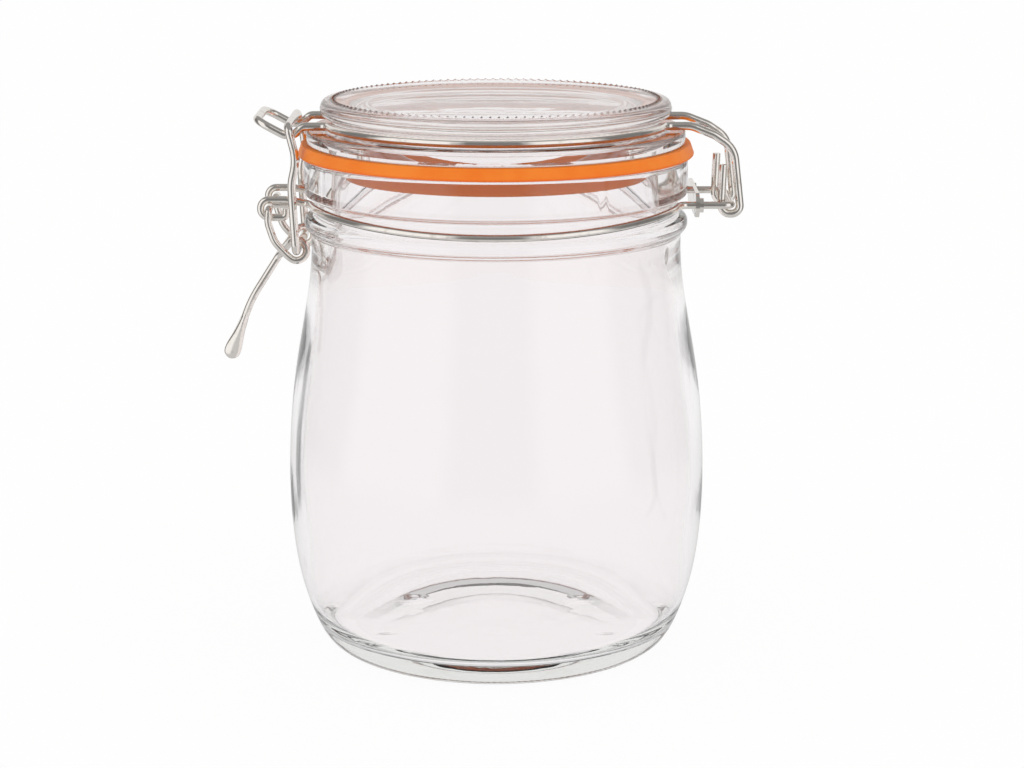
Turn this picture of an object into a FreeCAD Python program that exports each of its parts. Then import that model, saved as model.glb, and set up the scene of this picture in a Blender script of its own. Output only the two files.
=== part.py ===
import FreeCAD, Part

# Clip-top preserving jar, empty and closed. Millimetres, +Z up, origin on the jar's axis at the
# level it stands on. The latch is on the -X side, the hinge on the +X side, the front faces -Y.
import math
import os

V = FreeCAD.Vector

# ---- Jar glass: radii and heights of the outside, from the foot up --------------------------------
foot_r = 39.5            # where the heel meets the table
heel_r = 46.5
heel_z = 8.0
low_r = 50.1
low_z = 21.0
belly_r = 51.6           # widest part of the body
belly_z = 43.3
shoulder_r = 49.1
shoulder_z = 72.4
neck_r = 45.2            # waist under the bead
neck_z = 99.0
neck_lean = -0.1         # slope of the wall where it reaches the neck
bead_above_neck = 6.9
bead_out = 1.6
bead_half_h = 1.8
groove_in = 0.8          # groove that the neck wire lies in
groove_over = 0.6        # free height over the wire
collar_out = 1.5
collar_h = 9.2           # from the groove to the rim
collar_round = 0.7       # lower edge
rim_round = 1.2

# ---- Jar glass: inside ----------------------------------------------------------------------------
wall = 3.2
base_t = 4.6
push_up = 2.0            # how far the middle of the base is raised
foot_ring_w = 5.0
rim_w = 6.7
mouth_depth = 17.0       # straight bore below the rim
mouth_round = 1.0

# ---- Seal -----------------------------------------------------------------------------------------
seal_gap = 0.3           # free play between seal and rim
seal_t = 3.0
seal_proud_top = 0.5     # how far it stands out past the collar
seal_proud_bottom = 1.55
seal_bore_gap = 0.3      # seal around the lid's plug

# ---- Lid glass ------------------------------------------------------------------------------------
flange_in = 0.7          # the lower flange's edge lies this far inside the collar's
flange_t = 3.4
flange_round = 1.1
lid_groove_d = 5.9       # groove that the lid wire lies in
lid_groove_over = 0.5    # free height over the wire
cap_in = 3.3             # the upper flange's edge lies this far inside the lower one's
cap_h = 4.5              # from the groove to the top
cap_round = 2.2
cap_under_bow = 0.6      # bulge of the upper flange's underside
top_ring_w = 2.1         # raised ring round the top
top_recess = 1.3
plug_play = 4.4          # free width between plug and mouth
plug_depth = 6.0
plug_w = 3.4
lid_floor_t = 5.2        # glass in the middle of the lid

# ---- Wires: diameters and play --------------------------------------------------------------------
neck_wire_d = 1.8
lid_wire_d = 2.0
link_wire_d = 2.0
lever_wire_d = 1.8
side_gap = 0.3           # between wires that pass beside each other
seat_gap = 0.3           # between wires that press on each other
wire_to_glass = 0.4
hook_play = 0.5          # lid wire's hooks round the axle
coil_play = 0.4          # lever's coils round the link
eye_play = 0.7           # neck wire's eyes round the lever's pins
arm_bend = 6.0           # wide bends in the arms of both ring wires
ring_exit_bend = 2.5     # where an arm leaves its ring

# ---- Neck wire: ring, latch eyes and hinge loop ---------------------------------------------------
neck_wire_rise = 2.2     # the pull of latch and hinge lifts the ring at both sides
eye_half_y = 9.6         # the eyes' distance from the middle plane
eye_reach = 9.95         # from the collar to the middle line of an eye's far end
eye_len = 6.1            # along the middle line
eye_above_ring = 1.0
loop_half_y = 12.0
axle_reach = 9.9
axle_bend = 1.6

# ---- Hinge clip: oval plate on both arms of the hinge loop ----------------------------------------
clip_reach = 1.2
clip_t = 0.9
clip_h = 6.0
clip_end = 2.3           # plate beyond each arm
clip_bore_gap = 0.05
clip_boss_t = 1.0
clip_boss_w = 0.8

# ---- Lid wire: ring, latch loop and hinge hooks ---------------------------------------------------
latch_half_y = 11.0
arm_past_flange = 0.8    # the arms stay level until they are this far past the lower flange
valley_reach = 1.15      # from the seal's edge to the dip under the link's bar
valley_drop = 2.0        # below the ring
valley_half = 1.2        # half the length of the level stretch in the dip
valley_bend = 2.0
latch_end_out = 7.7      # from the dip to the loop's end
latch_end_rise = 1.5     # above the ring
latch_end_bend = 5.5
prong_h = 9.5            # cut ends above the axle
prong_lean = 0.4
arch_in = 4.2            # from the axle to where the arms turn down
arch_drop = 2.2
arch_side_out = 0.5
arch_side_drop = 5.4

# ---- Lever and link -------------------------------------------------------------------------------
coil_reach = 1.3         # from the collar to the link's lower bar
coil_drop = 10.0         # from the eyes to the coils
coil_shift = 1.9         # sideways travel of a coil's turn
coil_first = -105.0      # direction of a coil's first corner from its middle, degrees
coil_step = 45.0
coil_corners = 6
pin_past_eye = 1.2
pin_bend = 1.1
lever_arm_bow = 0.3      # how far the lever's arms first bow outwards
lever_arm_bend = 6.0
merge_out = 5.0          # where the two handle wires meet, from the coils' middle
merge_drop = 2.5
merge_bend = 3.0
grip_out = 12.4
grip_drop = 14.0
handle_bend = 30.0
handle_gap = 0.2
paddle_out = 17.2
paddle_drop = 26.4
paddle_len = 12.4        # from where the wires start to flatten to the tip
paddle_past = 2.9        # tip beyond the paddle's middle
paddle_w = 4.0           # across the flat sides, which face front and back
paddle_t = 1.9
paddle_wires_in = 5.5    # how far the wires run on inside the flattened end
link_corner = 2.0
link_bow = 1.1           # how far the legs bend towards the jar
link_wave = 0.6
leg_bend = 12.0

# ---- Places that follow from the sizes above ------------------------------------------------------
bead_r = neck_r + bead_out
bead_z = neck_z + bead_above_neck
groove_r = neck_r - groove_in
groove_top_z = bead_z + bead_half_h + wire_to_glass + neck_wire_d + neck_wire_rise + groove_over
collar_r = neck_r + collar_out
rim_z = groove_top_z + collar_h
mouth_r = collar_r - rim_w
neck_wire_r = groove_r + wire_to_glass + neck_wire_d / 2
neck_wire_z = bead_z + bead_half_h + wire_to_glass + neck_wire_d / 2

seal_top_r = collar_r + seal_proud_top
seal_bottom_r = collar_r + seal_proud_bottom
seal_z = rim_z + seal_gap

flange_r = collar_r - flange_in
flange_z = seal_z + seal_t
lid_groove_r = flange_r - lid_groove_d
lid_groove_z = flange_z + flange_t
lid_wire_r = lid_groove_r + wire_to_glass + lid_wire_d / 2
lid_wire_z = lid_groove_z + wire_to_glass + lid_wire_d / 2
cap_r = flange_r - cap_in
cap_z = lid_groove_z + wire_to_glass + lid_wire_d + lid_groove_over
lid_top_z = cap_z + cap_h
top_ring_in_r = cap_r - cap_round - top_ring_w
plug_r = mouth_r - plug_play

axle_x = collar_r + axle_reach
axle_z = neck_wire_z + neck_wire_rise
hook_r = neck_wire_d / 2 + hook_play + lid_wire_d / 2
hook_half_y = loop_half_y - neck_wire_d / 2 - side_gap - lid_wire_d / 2
arch_x = axle_x - arch_in
arch_side_x = axle_x + arch_side_out
arch_side_z = lid_wire_z - arch_side_drop
prong_top_z = axle_z + prong_h
clip_x = collar_r + clip_reach

eye_end_x = -collar_r - eye_reach
eye_h = neck_wire_d + lever_wire_d + eye_play
eye_z = neck_wire_z + eye_above_ring
pivot_x = eye_end_x + neck_wire_d / 2 + seat_gap + lever_wire_d / 2
lever_half_y = eye_half_y + neck_wire_d / 2 + side_gap + lever_wire_d / 2
link_half_y = lever_half_y + lever_wire_d / 2 + side_gap + link_wire_d / 2
coil_x = -collar_r - coil_reach
coil_z = eye_z - coil_drop
coil_r = link_wire_d / 2 + coil_play + lever_wire_d / 2
merge_x = coil_x - merge_out
merge_z = coil_z - merge_drop
grip_x = coil_x - grip_out
grip_z = coil_z - grip_drop
paddle_x = coil_x - paddle_out
paddle_z = coil_z - paddle_drop

valley_x = -seal_bottom_r - valley_reach
valley_z = lid_wire_z - valley_drop
latch_end_x = valley_x - latch_end_out
link_top_z = valley_z + lid_wire_d / 2 + seat_gap + link_wire_d / 2


def flat(r, z):
    """A point of a section through the jar's axis."""
    return V(r, 0, z)


def line(a, b):
    return Part.makeLine(a, b)


def arc(a, through, b):
    return Part.Arc(a, through, b).toShape()


def bowed(a, b, rise):
    """Arc from a to b whose middle stands off the chord, to the right of the way from a to b."""
    chord = b - a
    right = V(chord.z, 0, -chord.x).normalize()
    return arc(a, (a + b) * 0.5 + right * rise, b)


def quarter_round(a, b, r):
    """Rounded corner from a to b, which lie r apart both ways."""
    return bowed(a, b, r * (1 - math.sqrt(0.5)))


def spline(points, start, end):
    curve = Part.BSplineCurve()
    curve.interpolate(points, InitialTangent=start, FinalTangent=end, Scale=False)
    return curve.toShape()


def lathe(edges):
    face = Part.Face(Part.Wire(edges))
    return face.revolve(V(0, 0, 0), V(0, 0, 1), 360)


def round_path(points, bends, closed=False):
    """Edges along the points, with a tangent arc at each bend, as large as the runs beside it allow."""
    count = len(points)
    turns = range(count) if closed else range(1, count - 1)
    arcs = {}
    for i in turns:
        here = points[i]
        back = points[i - 1] - here
        ahead = points[(i + 1) % count] - here
        half = (math.pi - back.getAngle(ahead)) / 2
        trim = min(bends[i] * math.tan(half), 0.47 * min(back.Length, ahead.Length))
        radius = trim / math.tan(half)
        back.normalize()
        ahead.normalize()
        middle = (back + ahead).normalize() * (radius / math.cos(half) - radius)
        arcs[i] = (here + back * trim, here + middle, here + ahead * trim)
    edges = []
    runs = count if closed else count - 1
    for i in range(runs):
        j = (i + 1) % count
        start = arcs[i][2] if i in arcs else points[i]
        end = arcs[j][0] if j in arcs else points[j]
        edges.append(line(start, end))
        if j in arcs:
            edges.append(arc(*arcs[j]))
    return edges


def wire_solid(points, bends, diameter, closed=False):
    """Round wire of one diameter, bent along the points."""
    edges = round_path(points, bends, closed)
    spine = Part.Wire(edges)
    start = edges[0].valueAt(edges[0].FirstParameter)
    along = edges[0].tangentAt(edges[0].FirstParameter)
    section = Part.Wire([Part.makeCircle(diameter / 2, start, along)])
    solid = spine.makePipeShell([section], True, False)
    return Part.Solid(solid) if solid.ShapeType == "Shell" else solid


def mirrored(points):
    """The same points on the other side of the middle plane, in reverse order."""
    return [V(p.x, -p.y, p.z) for p in reversed(points)]


def both_sides(points, bends):
    """A path on the front side, carried over the middle plane to its mirror image."""
    return points + mirrored(points), bends + bends[::-1]


def ring_points(radius, half_y_latch, half_y_hinge, height):
    """Corners of a ring's front half, from the latch round to the hinge; the wire touches the ring."""
    start = math.pi + math.asin(half_y_latch / radius)
    end = 2 * math.pi - math.asin(half_y_hinge / radius)
    steps = 10
    step = (end - start) / steps
    corner_r = radius / math.cos(step / 2)
    angles = [start + step * (k + 0.5) for k in range(steps)]
    return [V(corner_r * math.cos(a), corner_r * math.sin(a), height(a)) for a in angles]


def on_ring(radius, half_y, side, height):
    """Where a ring meets an arm at this distance from the middle plane, on its front half."""
    x = side * math.sqrt(radius ** 2 - half_y ** 2)
    return V(x, -half_y, height(math.atan2(-half_y, x)))


def jar_glass():
    inner_z = push_up + base_t
    foot = flat(foot_r, 0)
    neck = flat(neck_r, neck_z)
    body = spline(
        [foot, flat(heel_r, heel_z), flat(low_r, low_z), flat(belly_r, belly_z),
         flat(shoulder_r, shoulder_z), neck],
        V(1, 0, 0), V(neck_lean, 0, 1))
    bead_low = flat(neck_r, bead_z - bead_half_h)
    bead_top = flat(groove_r, bead_z + bead_half_h)
    groove_top = flat(groove_r, groove_top_z - collar_round)
    collar_low = flat(collar_r, groove_top_z + collar_round)
    collar_top = flat(collar_r, rim_z - rim_round)
    rim_out = flat(collar_r - rim_round, rim_z)
    rim_in = flat(mouth_r + mouth_round, rim_z)
    mouth_top = flat(mouth_r, rim_z - mouth_round)
    mouth_low = flat(mouth_r, rim_z - mouth_depth)
    floor_edge = flat(foot_r, inner_z)
    inside = spline(
        [mouth_low, flat(neck_r - wall, neck_z - wall), flat(shoulder_r - wall, shoulder_z),
         flat(belly_r - wall, belly_z), flat(low_r - wall, low_z), floor_edge],
        V(0, 0, -1), V(-1, 0, 0))
    floor_mid = flat(0, inner_z)
    under_mid = flat(0, push_up)
    under_edge = flat(foot_r - foot_ring_w - push_up, push_up)
    foot_in = flat(foot_r - foot_ring_w, 0)
    return lathe([
        line(foot_in, foot),
        body,
        line(neck, bead_low),
        arc(bead_low, flat(bead_r, bead_z), bead_top),
        line(bead_top, groove_top),
        line(groove_top, collar_low),
        line(collar_low, collar_top),
        quarter_round(collar_top, rim_out, rim_round),
        line(rim_out, rim_in),
        quarter_round(rim_in, mouth_top, mouth_round),
        line(mouth_top, mouth_low),
        inside,
        line(floor_edge, floor_mid),
        line(floor_mid, under_mid),
        line(under_mid, under_edge),
        line(under_edge, foot_in),
    ])


def seal():
    bore = plug_r + seal_bore_gap
    outline = [flat(bore, seal_z), flat(seal_bottom_r, seal_z),
               flat(seal_top_r, flange_z), flat(bore, flange_z), flat(bore, seal_z)]
    return lathe([line(a, b) for a, b in zip(outline, outline[1:])])


def lid_glass():
    recess_z = lid_top_z - top_recess
    under_z = recess_z - lid_floor_t
    plug_z = flange_z - plug_depth
    plug_in_r = plug_r - plug_w
    under_mid = flat(0, under_z)
    under_edge = flat(plug_in_r, under_z)
    plug_inside = flat(plug_in_r, plug_z + plug_w / 2)
    plug_side = flat(plug_r, plug_z + plug_w / 2)
    plug_top = flat(plug_r, flange_z)
    flange_low = flat(flange_r, flange_z)
    flange_side = flat(flange_r, lid_groove_z - flange_round)
    flange_top = flat(flange_r - flange_round, lid_groove_z)
    groove_low = flat(lid_groove_r, lid_groove_z)
    groove_top = flat(lid_groove_r, cap_z)
    cap_side = flat(cap_r, lid_top_z - cap_round)
    cap_top = flat(cap_r - cap_round, lid_top_z)
    ring_in = flat(top_ring_in_r, lid_top_z)
    recess_edge = flat(top_ring_in_r - top_recess, recess_z)
    recess_mid = flat(0, recess_z)
    return lathe([
        line(under_mid, under_edge),
        line(under_edge, plug_inside),
        bowed(plug_inside, plug_side, plug_w / 2),
        line(plug_side, plug_top),
        line(plug_top, flange_low),
        line(flange_low, flange_side),
        quarter_round(flange_side, flange_top, flange_round),
        line(flange_top, groove_low),
        line(groove_low, groove_top),
        bowed(groove_top, cap_side, cap_under_bow),
        quarter_round(cap_side, cap_top, cap_round),
        line(cap_top, ring_in),
        line(ring_in, recess_edge),
        line(recess_edge, recess_mid),
        line(recess_mid, under_mid),
    ])


def neck_ring_height(angle):
    return neck_wire_z + neck_wire_rise * math.cos(angle) ** 2


def neck_wire():
    """One wire: eye, ring and hinge loop on the front, then the same behind."""
    top = eye_z + eye_h / 2
    low = eye_z - eye_h / 2
    near_x = eye_end_x + eye_len
    y = -eye_half_y
    leave = on_ring(neck_wire_r, eye_half_y, -1, neck_ring_height)
    arrive = on_ring(neck_wire_r, loop_half_y, 1, lambda angle: axle_z)
    eye = [V(near_x, y, eye_z), V(near_x, y, low), V(eye_end_x, y, low), V(eye_end_x, y, top),
           V(near_x, y, top), leave]
    ring = ring_points(neck_wire_r, eye_half_y, loop_half_y, neck_ring_height)
    loop = [arrive, V(axle_x, -loop_half_y, axle_z)]
    points = eye + ring + loop
    round_eye = eye_h / 2
    bends = [0, round_eye, round_eye, round_eye, arm_bend, ring_exit_bend]
    bends += [neck_wire_r] * len(ring) + [ring_exit_bend, axle_bend]
    points, bends = both_sides(points, bends)
    return wire_solid(points, bends, neck_wire_d)


def lid_wire():
    """One wire: hook and arm on the front, ring, latch loop, then the same behind."""
    hinge_y = -hook_half_y
    latch_y = -latch_half_y
    outer_x = axle_x + hook_r
    inner_x = axle_x - hook_r
    low = axle_z - hook_r
    arrive = on_ring(lid_wire_r, hook_half_y, 1, lambda angle: lid_wire_z)
    leave = on_ring(lid_wire_r, latch_half_y, -1, lambda angle: lid_wire_z)
    prong = [V(inner_x + prong_lean, hinge_y, prong_top_z), V(inner_x, hinge_y, low),
             V(outer_x, hinge_y, low)]
    level_x = flange_r + arm_past_flange
    arm = [V(arch_side_x, hinge_y, arch_side_z), V(arch_x, hinge_y, lid_wire_z - arch_drop),
           V(level_x, hinge_y, lid_wire_z), arrive]
    ring = ring_points(lid_wire_r, latch_half_y, hook_half_y, lambda angle: lid_wire_z)[::-1]
    latch = [leave, V(-level_x + arm_past_flange, latch_y, lid_wire_z),
             V(valley_x + valley_half, latch_y, valley_z),
             V(valley_x - valley_half, latch_y, valley_z),
             V(latch_end_x, latch_y, lid_wire_z + latch_end_rise)]
    points = prong + arm + ring + latch
    bends = [0, hook_r, hook_r, arm_bend, arm_bend, arm_bend, ring_exit_bend]
    bends += [lid_wire_r] * len(ring)
    bends += [ring_exit_bend, valley_bend, valley_bend, valley_bend, latch_end_bend]
    points, bends = both_sides(points, bends)
    return wire_solid(points, bends, lid_wire_d)


def hinge_clip():
    """Oval plate with an eyelet round each arm of the hinge loop."""
    half = loop_half_y + clip_end - clip_h / 2
    ends = [V(clip_x, -half, axle_z), V(clip_x, half, axle_z)]
    along = V(1, 0, 0)
    plate = Part.makeBox(clip_t, 2 * half, clip_h, V(clip_x, -half, axle_z - clip_h / 2))
    for end in ends:
        plate = plate.fuse(Part.makeCylinder(clip_h / 2, clip_t, end, along))
    bore_r = neck_wire_d / 2 + clip_bore_gap
    for side in (-1, 1):
        at = V(clip_x, side * loop_half_y, axle_z)
        boss = Part.makeCylinder(bore_r + clip_boss_w, clip_t + clip_boss_t, at, along)
        hole = Part.makeCylinder(bore_r, clip_t + clip_boss_t, at, along)
        plate = plate.fuse(boss).cut(hole)
    return plate.removeSplitter().Solids[0]


def link():
    """Closed frame: lower bar in the lever's coils, upper bar over the lid wire's latch loop."""
    rise = link_top_z - coil_z
    y = -link_half_y
    leg = [
        V(coil_x, y, coil_z),
        V(coil_x - link_wave, y, coil_z + 0.38 * rise),
        V(valley_x + link_wave, y, coil_z + 0.55 * rise),
        V(coil_x + link_bow - link_wave, y, coil_z + 0.74 * rise),
        V(valley_x, y, link_top_z),
    ]
    bends = [link_corner, leg_bend, leg_bend, leg_bend, link_corner]
    points, bends = both_sides(leg, bends)
    return wire_solid(points, bends, link_wire_d, closed=True)


def coil_points():
    """Corners round one coil, from under the pivot arm to the handle, drifting inwards."""
    corner_r = coil_r / math.cos(math.radians(coil_step / 2))
    points = []
    for k in range(coil_corners):
        angle = math.radians(coil_first + coil_step * k)
        y = -lever_half_y + coil_shift * k / (coil_corners - 1)
        points.append(V(coil_x + corner_r * math.cos(angle), y, coil_z + corner_r * math.sin(angle)))
    return points


def lever():
    """Two wire halves that meet in a flattened thumb end."""
    pin_end = -(eye_half_y - neck_wire_d / 2 - pin_past_eye)
    y = -lever_half_y
    handle_y = -(lever_wire_d / 2 + handle_gap / 2)
    coil_in = math.radians(coil_first - coil_step)
    coil_in_r = coil_r / math.cos(math.radians(coil_step / 2))
    arm = [V(pivot_x, pin_end, eye_z), V(pivot_x, y, eye_z),
           V(pivot_x - lever_arm_bow, y, eye_z - 0.3 * coil_drop),
           V(pivot_x + 4 * lever_arm_bow, y, eye_z - 0.78 * coil_drop),
           V(coil_x + coil_in_r * math.cos(coil_in), y, coil_z + coil_in_r * math.sin(coil_in))]
    coil = coil_points()
    handle = [V(merge_x, handle_y, merge_z), V(grip_x, handle_y, grip_z),
              paddle_point(paddle_wires_in) + V(0, 0.2 * handle_y, 0)]
    points = arm + coil + handle
    bends = [0, pin_bend, lever_arm_bend, lever_arm_bend, lever_arm_bend]
    bends += [coil_r] * len(coil) + [merge_bend, handle_bend, 0]
    front = wire_solid(points, bends, lever_wire_d)
    back = front.mirror(V(0, 0, 0), V(0, 1, 0))
    return front.fuse([back, paddle()]).removeSplitter().Solids[0]


def paddle_point(run):
    """Point on the middle line of the flattened end, a distance from where it starts."""
    along = V(paddle_x - grip_x, 0, paddle_z - grip_z).normalize()
    return V(paddle_x, 0, paddle_z) + along * (paddle_past - paddle_len + run)


def paddle():
    """Flattened end of the lever: both wires pressed into one teardrop."""
    along = (paddle_point(1) - paddle_point(0)).normalize()
    across = V(0, 1, 0).cross(along)
    half_w, half_t = paddle_w / 2, paddle_t / 2
    wire_r = lever_wire_d / 2
    round_at = paddle_len - half_w
    sections = [(0, 0.85 * wire_r, 1.8 * wire_r), (0.35 * round_at, 0.58 * half_w, 1.65 * half_t),
                (0.7 * round_at, 0.84 * half_w, 1.3 * half_t)]
    for angle in (0, 30, 55, 75):
        shrink = math.cos(math.radians(angle))
        run = round_at + half_w * math.sin(math.radians(angle))
        sections.append((run, half_w * shrink, half_t * math.sqrt(shrink)))
    rings = []
    for run, w, t in sections:
        middle = paddle_point(run)
        ring = [middle + across * w * math.cos(k * math.pi / 6) + V(0, t * math.sin(k * math.pi / 6), 0)
                for k in range(12)]
        curve = Part.BSplineCurve()
        curve.interpolate(Points=ring, PeriodicFlag=True)
        rings.append(Part.Wire(curve.toShape()))
    return Part.makeLoft(rings, True)


NODES = {
    "jar_glass": jar_glass,
    "neck_wire": neck_wire,
    "hinge_clip": hinge_clip,
    "seal": seal,
    "lid_glass": lid_glass,
    "lid_wire": lid_wire,
    "link": link,
    "lever": lever,
}

os.makedirs("parts", exist_ok=True)
for name, make in NODES.items():
    shape = make()
    assert shape.isValid() and len(shape.Solids) == 1, name
    shape.exportStep(f"parts/{name}.step")
    box = shape.BoundBox
    print(f"{name:11s} {shape.Volume / 1000:8.3f} cm3  x {box.XMin:.2f}..{box.XMax:.2f}"
          f"  y {box.YMin:.2f}..{box.YMax:.2f}  z {box.ZMin:.2f}..{box.ZMax:.2f}")
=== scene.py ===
"""Looks of a clip-top preserving jar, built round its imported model.

A pressed glass jar stands shut under a glass lid on an orange rubber ring, and a plated wire
toggle holds it. Sizes are in millimetres, which MM turns into metres. The front faces -Y, the
latch is on the -X side and the hinge on the +X side.
"""

import logging
import math
from collections.abc import Callable
from dataclasses import dataclass, field
from enum import Enum

import bpy
import numpy as np
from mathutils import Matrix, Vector


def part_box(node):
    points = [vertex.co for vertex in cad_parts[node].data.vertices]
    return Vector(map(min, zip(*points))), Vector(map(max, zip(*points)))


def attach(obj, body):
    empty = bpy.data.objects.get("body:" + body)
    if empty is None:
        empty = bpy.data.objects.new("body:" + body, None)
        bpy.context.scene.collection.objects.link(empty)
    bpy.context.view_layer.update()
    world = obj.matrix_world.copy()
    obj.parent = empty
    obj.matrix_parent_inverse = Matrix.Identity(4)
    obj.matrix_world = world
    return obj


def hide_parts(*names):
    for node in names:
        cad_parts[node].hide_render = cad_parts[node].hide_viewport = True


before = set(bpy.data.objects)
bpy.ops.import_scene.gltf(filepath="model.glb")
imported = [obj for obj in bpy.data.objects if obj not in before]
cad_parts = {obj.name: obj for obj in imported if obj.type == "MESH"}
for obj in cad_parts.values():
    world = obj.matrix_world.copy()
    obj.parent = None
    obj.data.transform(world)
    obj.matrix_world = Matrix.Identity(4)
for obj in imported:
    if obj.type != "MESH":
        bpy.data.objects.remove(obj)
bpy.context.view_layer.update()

MM = 0.001
LOG = logging.getLogger("preserving_jar")
Point = tuple[float, float]
Colour = tuple[float, float, float]
MERGE_DISTANCE = 0.001 * MM
WHITE = (1.0, 1.0, 1.0, 1.0)


class Body(Enum):
    """The bodies that pieces ride on."""

    JAR = "jar"
    LID = "lid"
    LEVER = "lever"
    LINK = "link"


class Slot(Enum):
    """Names for material slots, which this script does not use."""

    JAR_GLASS = "jar_glass"
    LID_GLASS = "lid_glass"
    SEAL = "seal_rubber"
    WIRE = "plated_wire"
    CLIP = "clip_steel"


# ---- Shaping helpers -----------------------------------------------------------------------------
@dataclass(frozen=True)
class Box:
    """The place of a construction piece, in millimetres."""

    low: Vector
    high: Vector

    @classmethod
    def of(cls, node: str) -> "Box":
        """Reads a piece's box from the imported model."""
        low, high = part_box(node)
        return cls(low / MM, high / MM)


@dataclass(frozen=True)
class Corner:
    """One corner of an outline: its radius and height, and how widely it is rounded."""

    r: float
    z: float
    bend: float = 0.0


def rounded(corners: list[Corner], step: float = 12.0) -> list[Point]:
    """Follows corners and rounds each with an arc.

    Args:
        corners: The outline's corners in order.
        step: Degrees of turn between the points of an arc.

    Returns:
        The points of the outline.
    """
    points: list[Point] = [(corners[0].r, corners[0].z)]
    for before, here, after in zip(corners, corners[1:], corners[2:]):
        at = Vector((here.r, here.z))
        back = (Vector((before.r, before.z)) - at).normalized()
        ahead = (Vector((after.r, after.z)) - at).normalized()
        half = (math.pi - back.angle(ahead)) / 2
        if here.bend <= 0 or half < 0.01:
            points.append((here.r, here.z))
            continue
        trim = here.bend * math.tan(half)
        centre = at + (back + ahead).normalized() * (here.bend / math.cos(half))
        start = at + back * trim - centre
        turn = math.copysign(2 * half, start.x * (at + ahead * trim - centre).y
                             - start.y * (at + ahead * trim - centre).x)
        count = max(2, math.ceil(math.degrees(2 * half) / step))
        for k in range(count + 1):
            angle = turn * k / count
            points.append((centre.x + start.x * math.cos(angle) - start.y * math.sin(angle),
                           centre.y + start.x * math.sin(angle) + start.y * math.cos(angle)))
    points.append((corners[-1].r, corners[-1].z))
    return points


def flowing(through: list[Point], start: Point, end: Point, per_span: int) -> list[Point]:
    """Lays one smooth curve through a few points.

    Args:
        through: The points that the curve passes.
        start: The curve's direction at its first point.
        end: The curve's direction at its last point.
        per_span: How many pieces each span is cut into.

    Returns:
        The points along the curve.
    """
    p = np.array(through)
    gaps = np.linalg.norm(np.diff(p, axis=0), axis=1)
    last = len(p) - 1
    system = np.eye(last + 1)
    wanted = np.zeros((last + 1, 2))
    wanted[0], wanted[last] = start, end
    for i in range(1, last):
        a, b = gaps[i - 1], gaps[i]
        system[i, i - 1:i + 2] = 1 / a, 2 * (1 / a + 1 / b), 1 / b
        wanted[i] = 3 * ((p[i] - p[i - 1]) / a**2 + (p[i + 1] - p[i]) / b**2)
    slopes = np.linalg.solve(system, wanted)
    curve: list[Point] = []
    for i in range(last):
        for t in np.arange(per_span) / per_span:
            hold = (1 + 2 * t) * (1 - t) ** 2 * p[i] + t * t * (3 - 2 * t) * p[i + 1]
            pull = t * (1 - t) ** 2 * slopes[i] - t * t * (1 - t) * slopes[i + 1]
            curve.append(tuple(hold + gaps[i] * pull))
    return curve + [through[-1]]


def deselect() -> None:
    """Leaves nothing selected, in object mode."""
    if bpy.context.mode != "OBJECT":
        bpy.ops.object.mode_set(mode="OBJECT")
    bpy.ops.object.select_all(action="DESELECT")


def take(piece: bpy.types.Object) -> None:
    """Makes one piece the only selected and the active one."""
    deselect()
    piece.select_set(True)
    bpy.context.view_layer.objects.active = piece


class Places:
    """Where all the vertices of a piece are, in millimetres and as directions from the axis."""

    def __init__(self, piece: bpy.types.Object) -> None:
        """Reads the places from the piece's mesh."""
        flat = np.empty(3 * len(piece.data.vertices))
        piece.data.vertices.foreach_get("co", flat)
        self.x, self.y, self.z = flat.reshape(-1, 3).T / MM
        self.r = np.hypot(self.x, self.y)
        self.turn = np.arctan2(self.y, self.x) % math.tau

    def beside(self, steps: int, every: int) -> np.ndarray:
        """How many steps each vertex is from the nearest one of every few steps round the axis."""
        k = np.rint(self.turn / math.tau * steps).astype(int) % every
        return np.minimum(k, every - k)


def pick(piece: bpy.types.Object, chosen: Callable[[Places], np.ndarray]) -> int:
    """Selects a piece's vertices by their place, and opens it for editing.

    Args:
        piece: The piece to work on.
        chosen: Says which of the places are wanted.

    Returns:
        How many vertices are selected.
    """
    take(piece)
    bpy.ops.object.mode_set(mode="EDIT")
    bpy.ops.mesh.select_mode(type="VERT")
    bpy.ops.mesh.select_all(action="DESELECT")
    bpy.ops.object.mode_set(mode="OBJECT")
    wanted = chosen(Places(piece))
    piece.data.vertices.foreach_set("select", wanted)
    bpy.ops.object.mode_set(mode="EDIT")
    return int(wanted.sum())


def close_edit() -> None:
    """Goes back to object mode."""
    bpy.ops.object.mode_set(mode="OBJECT")


def turned(name: str, outline: list[Point], steps: int) -> bpy.types.Object:
    """Turns an outline about the upright axis, as on a lathe.

    Args:
        name: The piece's name.
        outline: Radius and height of each point, in order.
        steps: How many steps one turn has.

    Returns:
        The closed piece.
    """
    deselect()
    bpy.ops.mesh.primitive_plane_add(size=MM)
    piece = bpy.context.active_object
    piece.name = piece.data.name = name
    places = [Vector((r, 0.0, z)) * MM for r, z in outline]
    bpy.ops.object.mode_set(mode="EDIT")
    bpy.ops.mesh.merge(type="CENTER")
    bpy.ops.transform.translate(value=places[0])
    for here, there in zip(places, places[1:]):
        bpy.ops.mesh.extrude_region_move(TRANSFORM_OT_translate={"value": there - here})
    close_edit()
    lathe = piece.modifiers.new("lathe", "SCREW")
    lathe.steps = lathe.render_steps = steps
    lathe.use_merge_vertices = True
    lathe.merge_threshold = MERGE_DISTANCE
    bpy.ops.object.modifier_apply(modifier="lathe")
    bpy.ops.object.mode_set(mode="EDIT")
    bpy.ops.mesh.select_all(action="SELECT")
    bpy.ops.mesh.remove_doubles(threshold=MERGE_DISTANCE)
    bpy.ops.mesh.normals_make_consistent(inside=False)
    close_edit()
    return piece


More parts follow.
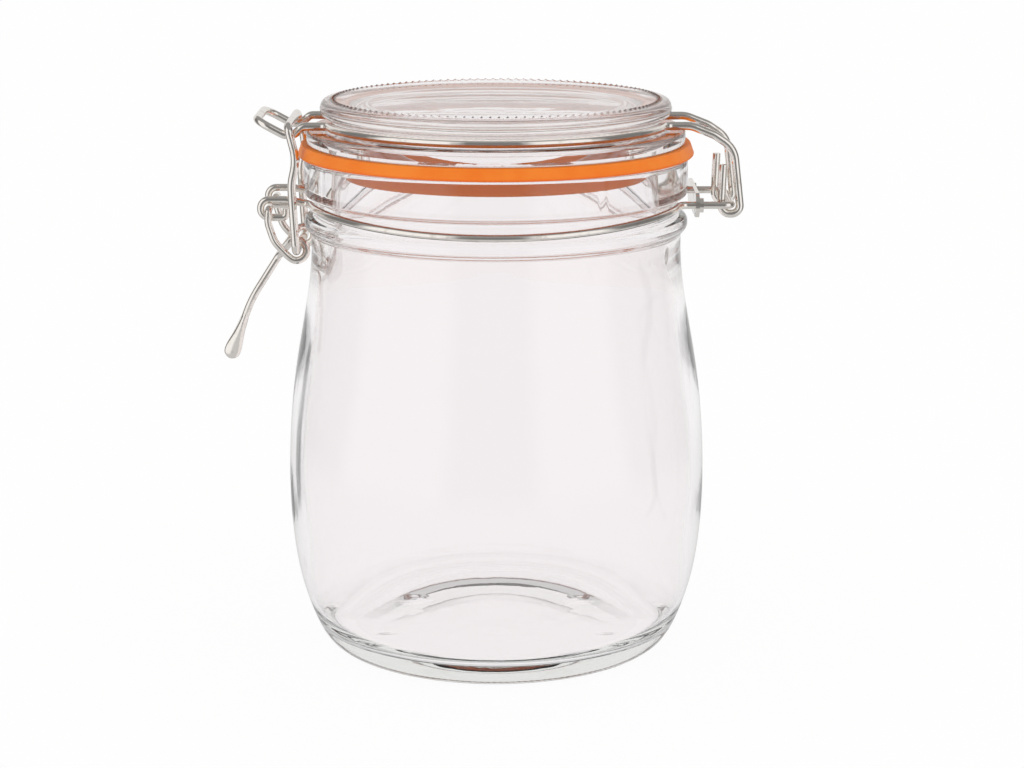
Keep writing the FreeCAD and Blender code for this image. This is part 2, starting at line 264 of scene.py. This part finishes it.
def smooth(piece: bpy.types.Object, angle: float = 40.0) -> None:
    """Shades a piece smooth, except over edges sharper than an angle in degrees."""
    take(piece)
    bpy.ops.object.shade_smooth_by_angle(angle=math.radians(angle))


# ---- Finishes ------------------------------------------------------------------------------------
class Nodes:
    """Builds one material's or world's node tree, a node at a time."""

    def __init__(self, tree: bpy.types.NodeTree) -> None:
        """Empties the tree that it will build in."""
        self.tree = tree
        tree.nodes.clear()

    def add(self, kind: str, **settings: object) -> bpy.types.Node:
        """Adds a node and sets what it is told: properties by name, sockets by their label."""
        node = self.tree.nodes.new(kind)
        for key, value in settings.items():
            label = key.replace("_", " ")
            if label in node.inputs:
                self.feed(node.inputs[label], value)
            else:
                setattr(node, key, value)
        return node

    def feed(self, socket: bpy.types.NodeSocket, value: object) -> None:
        """Links a socket to another, or sets its value."""
        if isinstance(value, bpy.types.NodeSocket):
            self.tree.links.new(value, socket)
        else:
            socket.default_value = value

    def sum(self, operation: str, *values: object) -> bpy.types.NodeSocket:
        """Does one piece of arithmetic and gives its result."""
        node = self.add("ShaderNodeMath", operation=operation)
        for socket, value in zip(node.inputs, values):
            self.feed(socket, value)
        return node.outputs["Value"]

    def between(self, value: object, low: float, high: float,
                to_low: float = 0.0, to_high: float = 1.0) -> bpy.types.NodeSocket:
        """Maps a range onto another with soft ends."""
        node = self.add("ShaderNodeMapRange", interpolation_type="SMOOTHSTEP", Value=value,
                        From_Min=low, From_Max=high, To_Min=to_low, To_Max=to_high)
        return node.outputs["Result"]

    def noise(self, size: float, detail: float = 2.0, roughness: float = 0.5,
              stretch: tuple[float, float, float] = (1.0, 1.0, 1.0)) -> bpy.types.NodeSocket:
        """Even noise on the piece itself.

        Args:
            size: The size of its blots, in millimetres.
            detail: How many finer layers it has.
            roughness: How strong the finer layers are.
            stretch: How much longer the blots are along each axis.

        Returns:
            The noise from 0 to 1.
        """
        place = self.add("ShaderNodeTexCoord").outputs["Object"]
        frequency = [1 / (size * MM * s) for s in stretch]
        placed = self.add("ShaderNodeMapping", Vector=place, Scale=frequency)
        node = self.add("ShaderNodeTexNoise", Vector=placed.outputs["Vector"], Scale=1.0,
                        Detail=detail, Roughness=roughness)
        return node.outputs["Fac"]

    def bump(self, height: object, depth: float = 1.0) -> bpy.types.NodeSocket:
        """Relief of a depth in millimetres, or of a height that is already in millimetres."""
        node = self.add("ShaderNodeBump", Strength=1.0, Distance=depth * MM, Height=height)
        return node.outputs["Normal"]


def new_material(name: str) -> tuple[bpy.types.Material, Nodes, bpy.types.Node]:
    """Starts a material: gives it, its builder and its main shader, joined to the surface."""
    material = bpy.data.materials.new(name)
    material.use_nodes = True
    nodes = Nodes(material.node_tree)
    shader = nodes.add("ShaderNodeBsdfPrincipled")
    output = nodes.add("ShaderNodeOutputMaterial")
    nodes.feed(output.inputs["Surface"], shader.outputs["BSDF"])
    return material, nodes, shader


@dataclass(frozen=True)
class PressedGlass:
    """Clear pressed glass: a faint tint that deepens with thickness, and a slightly uneven skin."""

    name: str
    skin: Colour = (0.966, 0.942, 0.948)
    depth_colour: Colour = (0.80, 0.84, 0.82)
    depth_density: float = 12.0
    wave_size: float = 14.0
    wave_depth: float = 0.05
    pebble_size: float = 1.1
    pebble_depth: float = 0.0012

    def material(self) -> bpy.types.Material:
        """Builds the glass."""
        material, nodes, shader = new_material(self.name)
        nodes.feed(shader.inputs["Base Color"], (*self.skin, 1.0))
        nodes.feed(shader.inputs["Transmission Weight"], 1.0)
        nodes.feed(shader.inputs["Roughness"], 0.0)
        nodes.feed(shader.inputs["IOR"], 1.5)
        relief = nodes.sum("MULTIPLY", nodes.noise(self.wave_size, stretch=(1, 1, 1.8)),
                           self.wave_depth)
        pebbles = nodes.noise(self.pebble_size, detail=1.0)
        relief = nodes.sum("MULTIPLY_ADD", pebbles, self.pebble_depth, relief)
        nodes.feed(shader.inputs["Normal"], nodes.bump(relief))
        inside = nodes.add("ShaderNodeVolumeAbsorption", Color=(*self.depth_colour, 1.0),
                           Density=self.depth_density)
        output = nodes.tree.nodes["Material Output"]
        nodes.feed(output.inputs["Volume"], inside.outputs["Volume"])
        return material


@dataclass(frozen=True)
class SealRubber:
    """Satin rubber: mottled warm orange, a redder painted shade at its foot, painted light on its
    lip, fine grain.
    """

    name: str
    colour: Colour = (0.90, 0.20, 0.010)
    worn: Colour = (0.93, 0.25, 0.022)
    # Painted shade: below the height that follows, the ring's foot and underside turn a deeper red,
    # standing in for shade under its edge.
    foot_painted_shade: Colour = (0.86, 0.155, 0.011)
    foot_shade_z: float = 122.7
    # Painted light: below the height that follows, the inner lip turns a brighter orange, standing
    # in for light on the lip that hangs shaded in the jar's mouth.
    lip_painted_light: Colour = (0.96, 0.23, 0.022)
    lip_light_z: float = 121.4
    grain_size: float = 0.35
    grain_depth: float = 0.02

    def material(self) -> bpy.types.Material:
        """Builds the rubber."""
        material, nodes, shader = new_material(self.name)
        blots = nodes.between(nodes.noise(9.0, detail=3.0), 0.3, 0.7)
        mix = nodes.add("ShaderNodeMix", data_type="RGBA")
        nodes.feed(mix.inputs[0], blots)
        nodes.feed(mix.inputs[6], (*self.colour, 1.0))
        nodes.feed(mix.inputs[7], (*self.worn, 1.0))
        place = nodes.add("ShaderNodeTexCoord").outputs["Object"]
        height = nodes.add("ShaderNodeSeparateXYZ", Vector=place).outputs["Z"]
        foot, lip = (z * MM for z in (self.foot_shade_z, self.lip_light_z))
        colour = mix.outputs[2]
        # Painted shade and painted light by height: the foot below its height turns a deeper red,
        # and the inner lip below its lower height a brighter orange.
        for shade, level in ((self.foot_painted_shade, foot), (self.lip_painted_light, lip)):
            share = nodes.between(height, level - 0.4 * MM, level + 0.4 * MM, 1.0, 0.0)
            blend = nodes.add("ShaderNodeMix", data_type="RGBA")
            nodes.feed(blend.inputs[0], share)
            nodes.feed(blend.inputs[6], colour)
            nodes.feed(blend.inputs[7], (*shade, 1.0))
            colour = blend.outputs[2]
        nodes.feed(shader.inputs["Base Color"], colour)
        fine = nodes.noise(self.grain_size, detail=2.0)
        nodes.feed(shader.inputs["Roughness"], nodes.between(fine, 0.2, 0.8, 0.42, 0.58))
        nodes.feed(shader.inputs["Normal"], nodes.bump(fine, self.grain_depth))
        nodes.feed(shader.inputs["Specular IOR Level"], 0.3)
        nodes.feed(shader.inputs["Subsurface Weight"], 0.15)
        nodes.feed(shader.inputs["Subsurface Radius"], (1.0, 0.35, 0.1))
        nodes.feed(shader.inputs["Subsurface Scale"], 0.8 * MM)
        return material


@dataclass(frozen=True)
class PlatedSteel:
    """Bright plated steel: mirror-like, with soft rubbed patches and fine drawn marks."""

    name: str
    bright: Colour = (0.90, 0.86, 0.815)
    dull: Colour = (0.71, 0.645, 0.585)
    rough_low: float = 0.08
    rough_high: float = 0.24
    patch_size: float = 2.6
    mark_size: float = 0.22
    mark_depth: float = 0.003

    def material(self) -> bpy.types.Material:
        """Builds the plating."""
        material, nodes, shader = new_material(self.name)
        patches = nodes.noise(self.patch_size, detail=4.0, roughness=0.6)
        mix = nodes.add("ShaderNodeMix", data_type="RGBA")
        nodes.feed(mix.inputs[0], nodes.between(patches, 0.5, 0.8))
        nodes.feed(mix.inputs[6], (*self.bright, 1.0))
        nodes.feed(mix.inputs[7], (*self.dull, 1.0))
        nodes.feed(shader.inputs["Base Color"], mix.outputs[2])
        nodes.feed(shader.inputs["Metallic"], 1.0)
        rough = nodes.between(patches, 0.35, 0.75, self.rough_low, self.rough_high)
        nodes.feed(shader.inputs["Roughness"], rough)
        marks = nodes.noise(self.mark_size, detail=2.0)
        nodes.feed(shader.inputs["Normal"], nodes.bump(marks, self.mark_depth))
        return material


def dress(piece: bpy.types.Object, material: bpy.types.Material) -> None:
    """Gives a whole piece one material."""
    piece.data.materials.clear()
    piece.data.materials.append(material)


# ---- Glass jar -----------------------------------------------------------------------------------
@dataclass
class JarGlass:
    """The jar: a bellied body on a stippled foot, with a bead, a wire groove and a collar."""

    finish: PressedGlass
    foot_r: float = 39.5
    heel: Point = (46.5, 8.0)
    low: Point = (50.1, 21.0)
    belly: Point = (51.6, 43.3)
    shoulder: Point = (49.1, 72.4)
    neck: Point = (45.2, 101.0)
    neck_lean: float = 0.0
    wall: float = 3.2
    floor_edge: Point = (39.5, 5.9)
    floor_rise: float = 0.7
    push_up: float = 1.4
    foot_ring: float = 4.0
    bead_out: float = 1.6
    bead_z: float = 105.9
    bead_h: float = 3.6
    groove_r: float = 44.4
    collar_r: float = 46.7
    collar_low: float = 112.7
    mouth_r: float = 40.0
    mouth_depth: float = 17.0
    seams: tuple[float, ...] = (210.0, 302.0)
    seam_out: float = 0.12
    stippled: Point = (0.3, 2.4)
    stipple_out: float = 0.1
    base_marks: tuple[Point, ...] = ((20.9, 13.7), (-20.9, 13.7), (26.8, -15.2), (-26.8, -15.2))
    mark_size: float = 2.6
    mark_up: float = 0.12
    steps: int = 360
    rows: int = 14
    box: Box = field(default_factory=lambda: Box.of("jar_glass"))

    def outline(self) -> list[Point]:
        """The closed section, from the middle of the base round the outside to the inside."""
        rim_z = self.box.high.z
        foot_in = self.foot_r - self.foot_ring
        under = flowing(
            [(0, self.push_up), (0.45 * foot_in, self.push_up - 0.1), (foot_in, 0.0),
             (self.foot_r - 1.2, 0)],
            (1, 0), (1, 0), self.rows)
        outside = flowing(
            [(self.foot_r, 0), self.heel, self.low, self.belly, self.shoulder, self.neck],
            (1, 0), (self.neck_lean, 1), self.rows)
        bead_low = self.bead_z - self.bead_h / 2
        bead_top = self.bead_z + self.bead_h / 2
        neck_r, neck_z = self.neck
        top = rounded([
            Corner(neck_r, neck_z),
            Corner(neck_r, bead_low, 1.2),
            Corner(neck_r + self.bead_out, bead_low + 0.4, 1.4),
            Corner(neck_r + self.bead_out, bead_top - 0.4, 1.4),
            Corner(self.groove_r, bead_top, 1.0),
            Corner(self.groove_r, self.collar_low, 1.0),
            Corner(self.collar_r, self.collar_low, 0.7),
            Corner(self.collar_r, rim_z, 1.2),
            Corner(self.mouth_r, rim_z, 1.0),
            Corner(self.mouth_r, rim_z - self.mouth_depth),
        ])
        inner = [(r - self.wall, z) for r, z in (self.shoulder, self.belly, self.low)]
        inside = flowing(
            [(self.mouth_r, rim_z - self.mouth_depth), (neck_r - self.wall, neck_z - 2 * self.wall),
             *inner, self.floor_edge],
            (0, -1), (-1, 0), self.rows)
        edge_r, edge_z = self.floor_edge
        floor = rounded([
            Corner(edge_r, edge_z),
            Corner(0.45 * edge_r, edge_z + self.floor_rise - 0.1, 60.0),
            Corner(0, edge_z + self.floor_rise),
        ])
        under = [(r, max(z, 0.0)) for r, z in under]
        return under + outside + top[1:] + inside[1:] + floor[1:]

    def raise_seams(self, piece: bpy.types.Object) -> None:
        """Pulls the fine mould seams out of the collar."""
        for seam in self.seams:
            pick(piece, lambda at: (at.r > self.collar_r - 0.3) & (at.z > self.collar_low)
                 & (abs(np.degrees(at.turn) - seam) < 180.0 / self.steps))
            turn = math.radians(seam)
            out = self.seam_out * MM
            bpy.ops.transform.translate(value=(out * math.cos(turn), out * math.sin(turn), 0))
            close_edit()

    def stipple(self, piece: bpy.types.Object) -> None:
        """Pulls every other point of the foot's edge down into fine stippling."""
        low, high = self.stippled

        def chosen(at: Places) -> np.ndarray:
            """The points of a chequer round the edge."""
            edge = (at.r > self.foot_r) & (at.z > low) & (at.z < high)
            rows = np.unique(np.round(at.z[edge], 2))
            row = np.searchsorted(rows, np.round(at.z, 2))
            return edge & (at.beside(self.steps, 2) == row % 2)

        pick(piece, chosen)
        bpy.ops.transform.resize(value=(1 + self.stipple_out / self.foot_r,) * 2 + (1,),
                                 center_override=(0, 0, 0))
        close_edit()

    def mark_base(self, piece: bpy.types.Object) -> None:
        """Presses the four soft mould marks into the underside, each in two steps."""
        for x, y in self.base_marks:
            for reach in (self.mark_size, 0.55 * self.mark_size):
                pick(piece, lambda at: (np.hypot(at.x - x, at.y - y) < reach)
                     & (at.z < self.push_up + 3 * self.mark_up))
                bpy.ops.transform.translate(value=(0, 0, self.mark_up * MM))
        close_edit()

    def build(self) -> bpy.types.Object:
        """Turns the jar, works its mould seams, stippling and base marks, and dresses it."""
        piece = turned("jar_body", self.outline(), self.steps)
        self.raise_seams(piece)
        self.stipple(piece)
        self.mark_base(piece)
        smooth(piece)
        dress(piece, self.finish.material())
        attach(piece, Body.JAR.value)
        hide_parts("jar_glass")
        return piece


# ---- Glass lid -----------------------------------------------------------------------------------
@dataclass
class LidGlass:
    """The lid: plug, lower flange, wire groove and a rounded cap with a ring of small teeth."""

    finish: PressedGlass
    plug_r: float = 35.6
    plug_w: float = 3.4
    under_z: float = 129.5
    flange_r: float = 46.0
    flange_z: float = 125.2
    flange_t: float = 3.4
    groove_r: float = 40.1
    cap_r: float = 42.7
    cap_z: float = 131.5
    widest_z: float = 133.6
    recess_r: float = 37.6
    recess_z: float = 135.1
    crest_r: float = 39.5
    teeth: int = 126
    points_per_tooth: int = 4
    tooth_h: float = 0.5
    tooth_half: float = 0.42
    box: Box = field(default_factory=lambda: Box.of("lid_glass"))

    @property
    def crest_z(self) -> float:
        """Height of the top ring between its teeth."""
        return self.box.high.z - self.tooth_h

    def outline(self) -> list[Point]:
        """The closed section, from the middle of the underside round the outside to the top."""
        plug_low = self.box.low.z
        plug_in = self.plug_r - self.plug_w
        groove_low = self.flange_z + self.flange_t
        body = rounded([
            Corner(0, self.under_z),
            Corner(plug_in, self.under_z, 2.0),
            Corner(plug_in, plug_low, 1.65),
            Corner(self.plug_r, plug_low, 1.65),
            Corner(self.plug_r, self.flange_z, 0.5),
            Corner(self.flange_r, self.flange_z, 0.4),
            Corner(self.flange_r, groove_low, 1.1),
            Corner(self.groove_r, groove_low, 0.7),
            Corner(self.groove_r, self.cap_z, 0.7),
            Corner(self.cap_r - 0.4, self.cap_z + 0.3, 0.9),
            Corner(self.cap_r, self.widest_z, 1.6),
            Corner(self.cap_r - 0.7, self.crest_z, 1.4),
            Corner(self.crest_r + 2 * self.tooth_half, self.crest_z),
        ])
        crest = [(self.crest_r + k * self.tooth_half, self.crest_z) for k in (1, 0, -1)]
        top = rounded([
            Corner(self.crest_r - self.tooth_half, self.crest_z),
            Corner(self.crest_r - 2 * self.tooth_half, self.crest_z, 0.4),
            Corner(self.recess_r - 1.5, self.recess_z, 6.0),
            Corner(24.0, self.recess_z + 0.1, 60.0),
            Corner(0, self.recess_z - 0.2),
        ])
        return body + crest[:-1] + top

    def raise_teeth(self, piece: bpy.types.Object) -> None:
        """Pulls the top ring up into small teeth, in two lifts: whole teeth, then their crests."""
        steps = self.teeth * self.points_per_tooth
        half = 1.3 * self.tooth_half
        for beside, share in ((0, 0.5), (1, 0.22)):
            for lift, reach in enumerate((half * (1 - beside), 0.1 * half)):
                floor = self.crest_z + (0.01 if lift else -0.01)

                def on_tooth(at: Places) -> np.ndarray:
                    """The points of the ring that this lift takes."""
                    across = abs(at.r - self.crest_r)
                    ring = (at.z > floor) & (across < 2 * half)
                    near = across < max(reach, 0.1 * half)
                    return near & ring & (at.beside(steps, self.points_per_tooth) == beside)

                pick(piece, on_tooth)
                bpy.ops.transform.translate(value=(0, 0, share * self.tooth_h * MM))
        close_edit()

    def build(self) -> bpy.types.Object:
        """Turns the lid, raises its teeth and dresses it."""
        piece = turned("lid", self.outline(), self.teeth * self.points_per_tooth)
        self.raise_teeth(piece)
        smooth(piece, 50.0)
        dress(piece, self.finish.material())
        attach(piece, Body.LID.value)
        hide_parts("lid_glass")
        return piece


# ---- Rubber ring ---------------------------------------------------------------------------------
@dataclass
class Seal:
    """The rubber ring: a flat band whose edge leans out, with an inner lip hanging in the mouth."""

    finish: SealRubber
    bore: float = 35.9
    top_r: float = 47.2
    lip_r: float = 37.8
    lip_low: float = 117.4
    edge_bend: float = 0.45
    pressed_in: float = 0.03
    pressed: tuple[float, float] = (42.0, 44.2)
    slack: float = 0.06
    steps: int = 240
    box: Box = field(default_factory=lambda: Box.of("seal"))
    jar_box: Box = field(default_factory=lambda: Box.of("jar_glass"))

    def outline(self) -> list[Point]:
        """The closed section, from the lip's foot round the outside, pressed into both glasses."""
        low = self.jar_box.high.z - self.pressed_in
        high = self.box.high.z + self.pressed_in
        foot_r = self.box.high.x
        inner, outer = self.pressed
        lip_middle = (self.bore + self.lip_r) / 2
        return rounded([
            Corner(lip_middle, self.lip_low),
            Corner(self.lip_r, self.lip_low, 0.7),
            Corner(self.lip_r, low + self.slack, 0.8),
            Corner(inner, low + self.slack, 1.0),
            Corner(inner + 0.5, low, 1.0),
            Corner(outer - 0.5, low, 1.0),
            Corner(outer, low + self.slack, 1.0),
            Corner(foot_r, self.box.low.z + self.slack, self.edge_bend),
            Corner(self.top_r, high - self.slack, self.edge_bend),
            Corner(outer, high - self.slack, 1.0),
            Corner(outer - 0.5, high, 1.0),
            Corner(inner + 0.5, high, 1.0),
            Corner(inner, high - self.slack, 1.0),
            Corner(self.bore, high - self.slack, self.edge_bend),
            Corner(self.bore, self.lip_low, 0.7),
            Corner(lip_middle, self.lip_low),
        ])

    def build(self) -> bpy.types.Object:
        """Turns the ring and dresses it."""
        piece = turned("seal_ring", self.outline(), self.steps)
        smooth(piece)
        dress(piece, self.finish.material())
        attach(piece, Body.LID.value)
        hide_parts("seal")
        return piece


# ---- Wires and clip ------------------------------------------------------------------------------
@dataclass
class Fittings:
    """The wire pieces and the clip, which keep their construction shapes."""

    wire: PlatedSteel
    clip: PlatedSteel

    def build(self) -> list[bpy.types.Object]:
        """Dresses every wire and the clip."""
        plating = self.wire.material()
        pieces = []
        for node in ("neck_wire", "lid_wire", "link", "lever"):
            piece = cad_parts[node]
            dress(piece, plating)
            pieces.append(piece)
        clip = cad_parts["hinge_clip"]
        dress(clip, self.clip.material())
        return pieces + [clip]


# ---- Studio --------------------------------------------------------------------------------------
@dataclass(frozen=True)
class Panel:
    """A soft-edged bright field of the studio, in degrees right of the camera and as heights."""

    left: float
    right: float
    low: float
    high: float
    level: float
    edge: float = 9.0

    def glow(self, nodes: Nodes, turn: bpy.types.NodeSocket,
             height: object) -> bpy.types.NodeSocket:
        """How brightly each direction sees the panel."""
        left, right, edge = (math.radians(a) for a in (self.left, self.right, self.edge))
        inside = nodes.sum("MULTIPLY", nodes.between(turn, left - edge, left + edge),
                           nodes.between(turn, right - edge, right + edge, 1.0, 0.0))
        between = nodes.sum("MULTIPLY", nodes.between(height, self.low - 0.08, self.low + 0.08),
                            nodes.between(height, self.high - 0.12, self.high + 0.12, 1.0, 0.0))
        return nodes.sum("MULTIPLY", nodes.sum("MULTIPLY", inside, between), self.level)


@dataclass
class Studio:
    """The pale floor, the soft light round the jar and the camera."""

    floor_size: float = 8000.0
    floor_paint: Colour = (0.97, 0.97, 0.97)
    floor_white: float = 0.95
    floor_mirrored: float = 0.6
    pale_to: Point = (180.0, 330.0)
    strip_from: float = -50.0
    strip_between: Point = (29.0, 38.0)
    strip_edge: float = 3.0
    strip_near: Point = (60.0, 100.0)
    strip_far: Point = (220.0, 300.0)
    tent_light: float = 0.86
    dark: float = 0.19
    panels: tuple[Panel, ...] = (
        Panel(-86.0, -24.0, -0.1, 0.75, 1.0),
        Panel(20.0, 72.0, -0.1, 0.75, 1.0),
        Panel(124.0, 200.0, -1.2, 0.6, 0.8),
        Panel(-200.0, -124.0, -1.2, 0.6, 0.8),
    )
    camera_place: tuple[float, float, float] = (3.9, -586.0, 204.9)
    camera_pitch: float = 13.5
    camera_lens: float = 85.0

    def floor(self) -> bpy.types.Object:
        """Lays a plain pale floor that keeps a faint shadow."""
        deselect()
        bpy.ops.mesh.primitive_plane_add(size=self.floor_size * MM)
        floor = bpy.context.active_object
        floor.name = "floor"
        material = bpy.data.materials.new("pale_floor")
        material.use_nodes = True
        nodes = Nodes(material.node_tree)
        path = nodes.add("ShaderNodeLightPath").outputs
        straight = nodes.sum("MAXIMUM", path["Is Camera Ray"], path["Is Transmission Ray"])
        seen = nodes.sum("MAXIMUM", straight, path["Is Glossy Ray"])
        place = nodes.add("ShaderNodeSeparateXYZ", Vector=nodes.add(
            "ShaderNodeTexCoord").outputs["Object"]).outputs
        level = self.mix(nodes, self.mirror_only(nodes, path), 1.0,
                         self.mirrored_floor(nodes, place))
        level = self.mix(nodes, path["Is Transmission Ray"], level, self.dark_strip(nodes, place))
        matt = nodes.add("ShaderNodeBsdfDiffuse", Color=(*self.floor_paint, 1.0))
        white = nodes.add("ShaderNodeEmission", Color=WHITE, Strength=level)
        share = nodes.sum("MULTIPLY", seen, self.floor_white)
        both = nodes.add("ShaderNodeMixShader", Fac=share)
        nodes.feed(both.inputs[1], matt.outputs["BSDF"])
        nodes.feed(both.inputs[2], white.outputs["Emission"])
        output = nodes.add("ShaderNodeOutputMaterial")
        nodes.feed(output.inputs["Surface"], both.outputs["Shader"])
        dress(floor, material)
        return floor

    @staticmethod
    def mix(nodes: Nodes, share: bpy.types.NodeSocket, one: object,
            other: object) -> bpy.types.NodeSocket:
        """Goes from one level to another."""
        node = nodes.add("ShaderNodeMix", data_type="FLOAT")
        for socket, value in zip(node.inputs[:1] + node.inputs[2:4], (share, one, other)):
            nodes.feed(socket, value)
        return node.outputs["Result"]

    @staticmethod
    def mirror_only(nodes: Nodes, path: object) -> bpy.types.NodeSocket:
        """1 for what mirrors show, and 0 for what is seen through rough glass."""
        return nodes.sum("MULTIPLY", path["Is Glossy Ray"],
                         nodes.sum("SUBTRACT", 1.0, path["Is Transmission Ray"]))

    def mirrored_floor(self, nodes: Nodes, place: object) -> bpy.types.NodeSocket:
        """What mirrors show of the floor: pale by the jar, and further out the panels' feet."""
        forward = nodes.sum("MULTIPLY", place["Y"], -1.0)
        turn = nodes.sum("ARCTAN2", place["X"], forward)
        away = nodes.sum("SQRT", nodes.sum("ADD", nodes.sum("MULTIPLY", place["X"], place["X"]),
                                           nodes.sum("MULTIPLY", place["Y"], place["Y"])))
        far: object = self.dark
        for panel in self.panels:
            far = nodes.sum("MAXIMUM", far, panel.glow(nodes, turn, 0.0))
        near, beyond = (distance * MM for distance in self.pale_to)
        return self.mix(nodes, nodes.between(away, near, beyond), self.floor_mirrored, far)

    def dark_strip(self, nodes: Nodes, place: object) -> bpy.types.NodeSocket:
        """The dark strip on the floor behind the jar's left side, which only its wall shows."""
        back = nodes.sum("ARCTAN2", nodes.sum("SUBTRACT", self.strip_from * MM, place["X"]),
                         place["Y"])
        low, high = (math.radians(angle) for angle in self.strip_between)
        soft = math.radians(self.strip_edge)
        across = nodes.sum("MULTIPLY", nodes.between(back, low - soft, low + soft),
                           nodes.between(back, high - soft, high + soft, 1.0, 0.0))
        near, far = ([distance * MM for distance in ends]
                     for ends in (self.strip_near, self.strip_far))
        along = nodes.sum("MULTIPLY", nodes.between(place["Y"], *near),
                          nodes.between(place["Y"], *far, 1.0, 0.0))
        return nodes.between(nodes.sum("MULTIPLY", across, along), 0.0, 1.0, 1.0, self.dark)

    def surroundings(self) -> None:
        """Sets the light tent, and the darker studio with soft panels that mirrors show."""
        world = bpy.data.worlds.new("studio")
        bpy.context.scene.world = world
        world.use_nodes = True
        nodes = Nodes(world.node_tree)
        way = nodes.add("ShaderNodeTexCoord").outputs["Generated"]
        split = nodes.add("ShaderNodeSeparateXYZ", Vector=way)
        height = split.outputs["Z"]
        forward = nodes.sum("MULTIPLY", split.outputs["Y"], -1.0)
        turn = nodes.sum("ARCTAN2", split.outputs["X"], forward)
        mirrored: object = nodes.between(height, 0.3, 0.8, self.dark, 1.6 * self.dark)
        for panel in self.panels:
            mirrored = nodes.sum("MAXIMUM", mirrored, panel.glow(nodes, turn, height))
        path = nodes.add("ShaderNodeLightPath").outputs
        tent = self.mix(nodes, path["Is Diffuse Ray"], 1.0, self.tent_light)
        level = self.mix(nodes, self.mirror_only(nodes, path), tent, mirrored)
        level = nodes.sum("MAXIMUM", level, path["Is Camera Ray"])
        light = nodes.add("ShaderNodeBackground", Color=(1.0, 0.99, 0.98, 1.0), Strength=level)
        output = nodes.add("ShaderNodeOutputWorld")
        nodes.feed(output.inputs["Surface"], light.outputs["Background"])

    def softbox(self, name: str, turn: float, rise: float, away: float,
                size: tuple[float, float], power: float) -> None:
        """Hangs a soft lamp that faces the jar.

        Args:
            name: The lamp's name.
            turn: Degrees to the right of the camera.
            rise: Degrees above the jar's middle.
            away: Distance from the jar's middle, in millimetres.
            size: Width and height in millimetres.
            power: Its power in watts.
        """
        lamp = bpy.data.lights.new(name, "AREA")
        lamp.shape = "RECTANGLE"
        lamp.size, lamp.size_y = size[0] * MM, size[1] * MM
        lamp.energy = power
        box = bpy.data.objects.new(name, lamp)
        bpy.context.scene.collection.objects.link(box)
        a, e = math.radians(turn), math.radians(rise)
        middle = Vector((0, 0, 75.0)) * MM
        out = Vector((math.sin(a) * math.cos(e), -math.cos(a) * math.cos(e), math.sin(e)))
        box.location = middle + out * away * MM
        box.rotation_euler = out.to_track_quat("Z", "Y").to_euler()
        box.visible_camera = box.visible_transmission = box.visible_glossy = False

    def camera(self) -> None:
        """Sets the camera in front of the jar, a little above its lid."""
        lens = bpy.data.cameras.new("camera")
        lens.lens = self.camera_lens
        lens.sensor_width = 36.0
        lens.clip_start = 0.01
        camera = bpy.data.objects.new("camera", lens)
        camera.location = Vector(self.camera_place) * MM
        camera.rotation_euler = (math.radians(90.0 - self.camera_pitch), 0.0, 0.0)
        bpy.context.scene.collection.objects.link(camera)
        bpy.context.scene.camera = camera

    def build(self) -> None:
        """Sets the floor, the surroundings, the lamps and the camera."""
        self.camera()
        self.floor()
        self.surroundings()
        self.softbox("left_softbox", -55.0, 12.0, 520.0, (480.0, 420.0), 0.25)
        self.softbox("right_softbox", 45.0, 14.0, 520.0, (420.0, 400.0), 0.25)
        scene = bpy.context.scene
        scene.view_settings.view_transform = "Standard"
        scene.cycles.max_bounces = 16
        scene.cycles.transmission_bounces = 16
        scene.cycles.glossy_bounces = 8


def main() -> None:
    """Builds the jar piece by piece."""
    logging.basicConfig(level=logging.INFO, format="%(message)s")
    Studio().build()
    pieces = [
        JarGlass(PressedGlass("clear_jar_glass")).build(),
        LidGlass(PressedGlass("clear_lid_glass", depth_colour=(0.84, 0.82, 0.80),
                              depth_density=9.0)).build(),
        Seal(SealRubber("orange_rubber")).build(),
        *Fittings(PlatedSteel("bright_plating"), PlatedSteel("sheet_plating")).build(),
    ]
    for piece in pieces:
        LOG.info("%s: %d faces", piece.name, len(piece.data.polygons))


if __name__ == "__main__":
    main()
